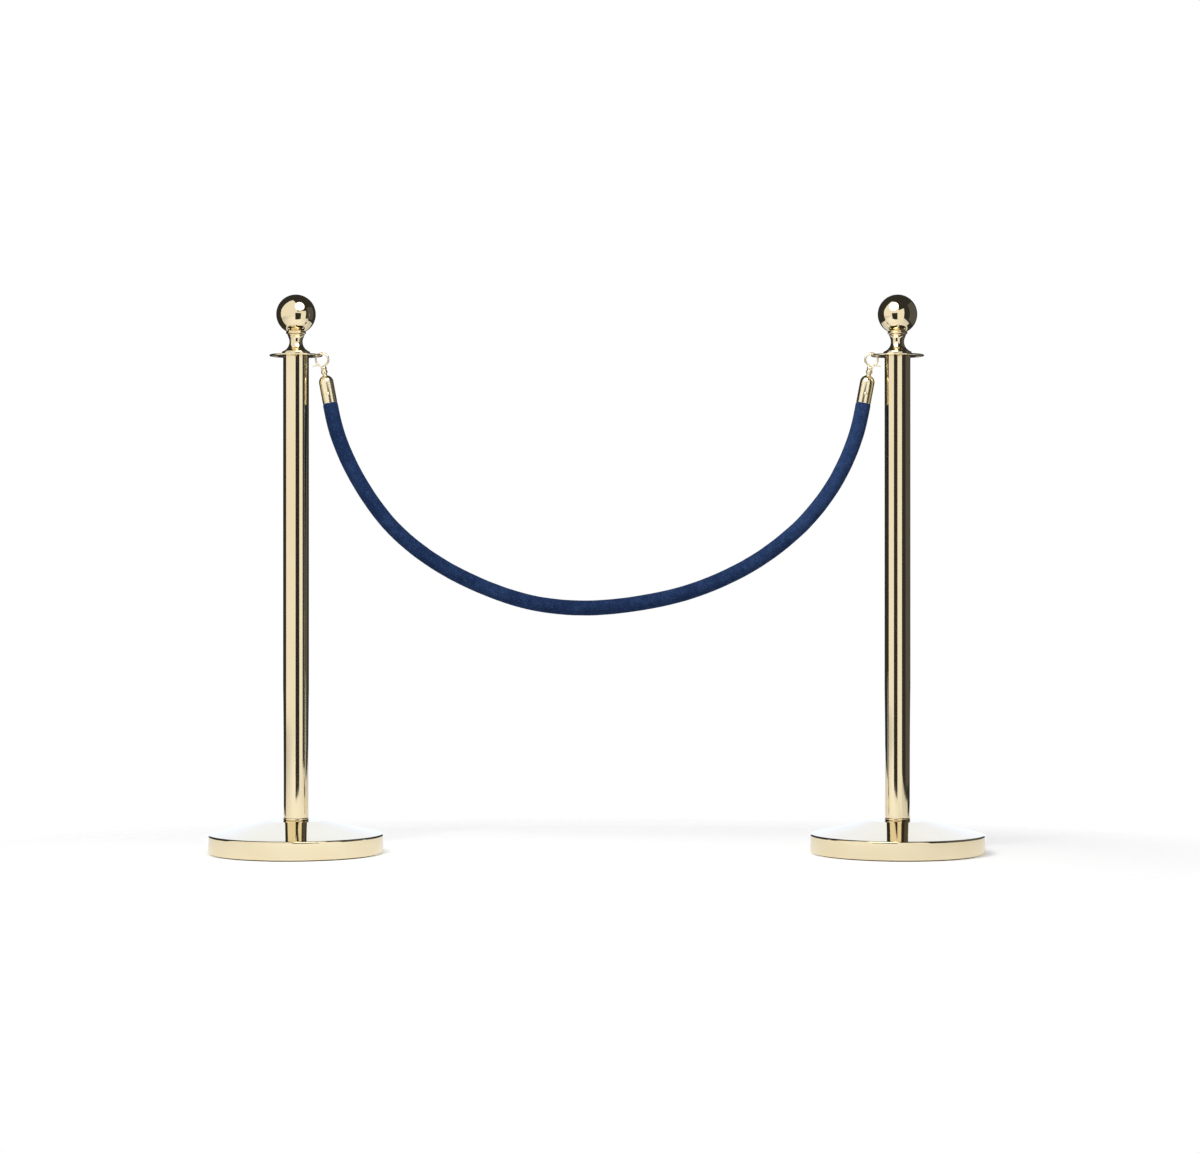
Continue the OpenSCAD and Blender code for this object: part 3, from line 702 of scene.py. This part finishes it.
def velvet_material():
    """Short pile that leans along the rope. The lighter look of its right arm, seen with the nap, is
    painted into its colour as sheen, and the pile's hollows carry painted shade.
    """
    g = Graph("navy_velvet")
    where = g.coords()
    nap = g.noise(where, scale=900, rough=0.6)
    tufts = g.noise(where, scale=480, rough=0.6)
    brushed = g.noise(where, scale=95, detail=4, rough=0.62)
    lying = g.noise(where, scale=22, rough=0.55)
    along = g.add("ShaderNodeSeparateXYZ")
    g.link(where, along.inputs["Vector"])
    # painted sheen: the colour is lifted towards the right arm, standing for the light its nap
    # catches there
    lean = g.ease(along.outputs["X"], PAINTED_SHEEN_FROM, PAINTED_SHEEN_TO)
    mottle = g.math("ADD", g.math("MULTIPLY", brushed, 0.55), g.math("MULTIPLY", lying, 0.45))
    tone = g.math("ADD", mottle, g.math("MULTIPLY", lean, PAINTED_SHEEN_LIFT))
    body = g.ramp(tone, [(0.32, VELVET_DEEP), (0.5, VELVET_BODY), (0.74, VELVET_LIGHT)])
    # painted shade: the colour darkens towards VELVET_DEEP where the pile's bump is low, as shade in
    # its hollows
    hollow_shade = g.ramp(nap, [(0.36, (0.85, 0.85, 0.85)), (0.62, (0, 0, 0))])
    tip = g.ramp(tufts, [(0.55, (0, 0, 0)), (0.72, (0.6, 0.6, 0.6))])
    g.set("Base Color", g.mix(tip, g.mix(hollow_shade, body, VELVET_DEEP), VELVET_TIP))
    g.set("Roughness", g.math("ADD", g.math("MULTIPLY", nap, 0.15), 0.8))
    g.set("Specular IOR Level", 0.06)
    g.set("Sheen Weight", 0.26)
    g.set("Sheen Roughness", 0.42)
    g.set("Sheen Tint", VELVET_SHEEN)
    clumps = g.bump(brushed, 0.5 * MM, strength=0.6)
    g.set("Normal", g.bump(nap, 0.18 * MM, strength=0.8, before=clumps))
    return g.material


def plain_material(name, dark, light, scale, rough, metal, depth):
    """A base material with grain in its colour, roughness and surface."""
    g = Graph(name)
    where = g.coords()
    grain = g.noise(where, scale, detail=5, rough=0.6)
    broad = g.noise(where, scale / 12)
    tone = g.math("ADD", g.math("MULTIPLY", grain, 0.6), g.math("MULTIPLY", broad, 0.4))
    g.set("Base Color", g.ramp(tone, [(0.35, dark), (0.65, light)]))
    g.set("Metallic", metal)
    g.set("Roughness", g.math("ADD", g.math("MULTIPLY", broad, 0.2), rough))
    g.set("Normal", g.bump(grain, depth))
    return g.material


turned_gold = gold_material("turned_gold", GOLD_DEEP, GOLD_LIGHT, turned=True, rough=0.01)
drawn_gold = gold_material("drawn_gold", PALE_DEEP, PALE_LIGHT, turned=True, rough=0.17)
cast_gold = gold_material("cast_gold", PALE_DEEP, PALE_LIGHT, turned=False, rough=0.07)
velvet = velvet_material()
iron = plain_material("cast_iron", (0.03, 0.03, 0.032), (0.075, 0.073, 0.07),
                      scale=700, rough=0.55, metal=0.6, depth=0.15 * MM)
rubber = plain_material("black_rubber", (0.012, 0.012, 0.012), (0.03, 0.03, 0.03),
                        scale=1200, rough=0.6, metal=0.0, depth=0.05 * MM)
steel = plain_material("zinc_steel", (0.42, 0.43, 0.44), (0.6, 0.6, 0.6),
                       scale=900, rough=0.22, metal=1.0, depth=0.01 * MM)
cotton = plain_material("cotton", (0.55, 0.5, 0.4), (0.8, 0.76, 0.66),
                        scale=1500, rough=0.75, metal=0.0, depth=0.3 * MM)

NODE_MATERIALS = {
    "floor_ring": rubber, "base_weight": iron, "tie_rod": steel, "base_washer": steel,
    "base_nut": steel, "lower_plug": steel, "upper_plug": steel, "finial_stud": steel,
    "swivel_pin": cast_gold, "swivel_washer": cast_gold, "nut_washer": steel, "swivel_nut": steel,
    "trigger_pin": steel, "trigger_spring": steel,
}


def paint(obj, material):
    obj.data.materials.clear()
    obj.data.materials.append(material)


def paint_all():
    paint(rope, velvet)
    for side in SIDES:
        for piece in posts[side].values():
            paint(piece, turned_gold)
        for part, piece in ends[side].items():
            paint(piece, drawn_gold if part == "ferrule" else cast_gold)
        for part, material in NODE_MATERIALS.items():
            paint(nodes[f"{side}_{part}"], material)
    paint(nodes["rope_core"], cotton)


paint_all()


# Studio

# Outline of the floor, wide in front of the posts and narrow behind them
PAPER = [(-5.4, -5.4), (1.8, -5.4), (1.8, 0.1), (1.35, 0.1),
         (1.35, 2.7), (-1.35, 2.7), (-1.35, 0.1), (-5.4, 0.1)]
# What is added to the floor's own light where the camera sees it, and in the metal near and far
PAPER_LIFT = 0.36
PAPER_SHINE = 0.26
PAPER_FAR_SHINE = 0.66
# Distances from the middle between which the floor fades out and its far shine comes in,
# where a metre to the side counts as FLOOR_SQUEEZE
FADE_FROM, FADE_TO = 0.5, 0.8
SHINE_FROM, SHINE_TO = 1.6, 4.6
FLOOR_SQUEEZE = 0.6


def make_floor():
    """Pale floor that keeps the shadow and fades into the white background."""
    bm = bmesh.new()
    bm.faces.new([bm.verts.new((x, y, 0)) for x, y in PAPER])
    floor = finish_mesh("floor", bm)
    g = Graph("floor")
    g.set("Base Color", (0.9, 0.9, 0.9))
    g.set("Roughness", 0.9)
    g.set("Specular IOR Level", 0.0)
    out = g.tree.nodes["Material Output"]
    rays = g.add("ShaderNodeLightPath")
    lift = g.add("ShaderNodeEmission")
    seen = g.math("MULTIPLY", rays.outputs["Is Camera Ray"], PAPER_LIFT)
    far = g.add("ShaderNodeVectorMath", operation="LENGTH")
    g.link(g.coords(scale=(FLOOR_SQUEEZE, 1, 1)), far.inputs[0])
    shine = g.ease(far.outputs["Value"], SHINE_FROM, SHINE_TO, PAPER_SHINE, PAPER_FAR_SHINE)
    mirrored = g.math("MULTIPLY", rays.outputs["Is Glossy Ray"], shine)
    g.link(g.math("ADD", seen, mirrored), lift.inputs["Strength"])
    lit = g.add("ShaderNodeAddShader")
    g.link(g.shader.outputs["BSDF"], lit.inputs[0])
    g.link(lift.outputs["Emission"], lit.inputs[1])
    fade = g.ease(far.outputs["Value"], FADE_FROM, FADE_TO)
    clear = g.add("ShaderNodeBsdfTransparent")
    faded = g.add("ShaderNodeMixShader")
    g.link(g.math("MULTIPLY", fade, rays.outputs["Is Camera Ray"]), faded.inputs["Fac"])
    g.link(lit.outputs["Shader"], faded.inputs[1])
    g.link(clear.outputs["BSDF"], faded.inputs[2])
    g.link(faded.outputs["Shader"], out.inputs["Surface"])
    paint(floor, g.material)


def card_material(name, colour, glow):
    material = bpy.data.materials.new(name)
    material.use_nodes = True
    tree = material.node_tree
    tree.nodes.clear()
    light = tree.nodes.new("ShaderNodeEmission")
    light.inputs["Color"].default_value = (*colour, 1)
    light.inputs["Strength"].default_value = glow
    out = tree.nodes.new("ShaderNodeOutputMaterial")
    tree.links.new(light.outputs["Emission"], out.inputs["Surface"])
    return material


def make_card(obj, colour, glow):
    """A studio card that only the polished metal sees."""
    paint(obj, card_material(obj.name, colour, glow))
    obj.visible_camera = False
    obj.visible_diffuse = False
    obj.visible_shadow = False
    obj.visible_transmission = False


WARM_WHITE = (1.0, 0.99, 0.97)
PLAIN_WHITE = (1, 1, 1)
COOL_BLUE = (0.71, 0.79, 1.0)
WHITE_GLOW = 0.99

# Upright cards: both ends of the floor line, height, colour and glow
CARDS = {
    "front_panel": ((1.0, -0.7), (0.0, -2.4), 1.4, WARM_WHITE, WHITE_GLOW),
    "camera_stand": ((-0.504, -1.33), (0.406, -1.33), 1.04, PLAIN_WHITE, 0.03),
    "side_wall": ((2.2, -0.6), (2.2, 2.0), 2.5, PLAIN_WHITE, 0.1),
}

# An arch behind each post, which its base mirrors
ARCH_X, ARCH_Y = 0.566, 0.2
ARCH_HALF, ARCH_TOP = 0.21, 0.29
ARCH_GLOW = 1.42

# The white scrim round the front left is part of a ball about a point SCRIM_Z over the floor.
# Its upper edge is given as angle from the front, left being negative, and elevation.
SCRIM_EDGE = [(-92, 18), (-84, 46), (-79, 72), (-40, 74), (8, 59)]
SCRIM_LOW = -9
SCRIM_R = 5.4
SCRIM_Z = 0.8


def scrim_top(angle):
    for (a0, e0), (a1, e1) in zip(SCRIM_EDGE, SCRIM_EDGE[1:]):
        if angle <= a1:
            return e0 + (e1 - e0) * (angle - a0) / (a1 - a0)
    return SCRIM_EDGE[-1][1]


def make_scrim():
    bm = bmesh.new()
    first, last = SCRIM_EDGE[0][0], SCRIM_EDGE[-1][0]
    columns, rows = 70, 16
    centre = Vector((0, 0, SCRIM_Z))
    grid = []
    for i in range(columns + 1):
        angle = first + (last - first) * i / columns
        column = []
        for j in range(rows + 1):
            e = radians(SCRIM_LOW + (scrim_top(angle) - SCRIM_LOW) * j / rows)
            a = radians(angle)
            way = Vector((sin(a) * cos(e), -cos(a) * cos(e), sin(e)))
            column.append(bm.verts.new(centre + way * SCRIM_R))
        grid.append(column)
    for left, right in zip(grid, grid[1:]):
        for j in range(rows):
            bm.faces.new((left[j], right[j], right[j + 1], left[j + 1]))
    make_card(finish_mesh("scrim", bm), WARM_WHITE, WHITE_GLOW)


def upright(name, start, end, top):
    """An upright rectangle on the floor line from start to end."""
    bm = bmesh.new()
    corners = [(*start, 0), (*end, 0), (*end, top), (*start, top)]
    bm.faces.new([bm.verts.new(c) for c in corners])
    return finish_mesh(name, bm)


def arch(name, centre):
    """An upright arch on the floor, with a broad top and round shoulders."""
    steps = 24
    bulge, shoulder = 2.5, 0.6
    across = [-1 + 2 * i / steps for i in range(steps + 1)]
    heights = [ARCH_TOP * (1 - abs(t) ** bulge) ** shoulder for t in across]
    bm = bmesh.new()
    outline = [(centre + ARCH_HALF * t, ARCH_Y, z) for t, z in zip(across, heights)]
    bm.faces.new([bm.verts.new(point) for point in outline])
    return finish_mesh(name, bm)


def make_cards():
    make_scrim()
    for name, (start, end, top, colour, glow) in CARDS.items():
        make_card(upright(name, start, end, top), colour, glow)
    for side, sign in SIDES.items():
        make_card(arch(f"{side}_back", sign * ARCH_X), COOL_BLUE, ARCH_GLOW)


def make_lamp(name, shape, size, power, place, aim):
    """An area lamp that the camera doesn't see."""
    data = bpy.data.lights.new(name, "AREA")
    data.shape = shape
    data.size = size
    data.energy = power
    lamp = bpy.data.objects.new(name, data)
    lamp.location = place
    lamp.rotation_euler = (Vector(aim) - Vector(place)).to_track_quat("-Z", "Y").to_euler()
    lamp.visible_camera = False
    scene.collection.objects.link(lamp)
    return lamp


def make_lamps():
    make_lamp("key", "DISK", size=1.1, power=7.5, place=(0, -0.7, 1.665), aim=(0, 0, 0.6))
    wash = make_lamp("wash", "SQUARE", size=1.2, power=46, place=(-1.1, -2.2, 2.5), aim=(0.1, 0, 0.5))
    wash.visible_glossy = False


# Strength of the world as matt surfaces, polished metal and the camera see it
WORLD_FILL = 0.34
WORLD_IN_METAL = 0.035
WORLD_SEEN = 1.0


def make_world():
    """White to the camera, soft fill on matt surfaces, dim to polished metal between the cards."""
    world = bpy.data.worlds.new("studio")
    scene.world = world
    world.use_nodes = True
    tree = world.node_tree
    tree.nodes.clear()
    rays = tree.nodes.new("ShaderNodeLightPath")

    def background(strength):
        node = tree.nodes.new("ShaderNodeBackground")
        node.inputs["Color"].default_value = (1, 1, 1, 1)
        node.inputs["Strength"].default_value = strength
        return node.outputs["Background"]

    def choose(fac, a, b):
        node = tree.nodes.new("ShaderNodeMixShader")
        tree.links.new(fac, node.inputs["Fac"])
        tree.links.new(a, node.inputs[1])
        tree.links.new(b, node.inputs[2])
        return node.outputs["Shader"]

    fill = choose(rays.outputs["Is Glossy Ray"], background(WORLD_FILL), background(WORLD_IN_METAL))
    seen = choose(rays.outputs["Is Camera Ray"], fill, background(WORLD_SEEN))
    out = tree.nodes.new("ShaderNodeOutputWorld")
    tree.links.new(seen, out.inputs["Surface"])


make_floor()
make_cards()
make_lamps()
make_world()
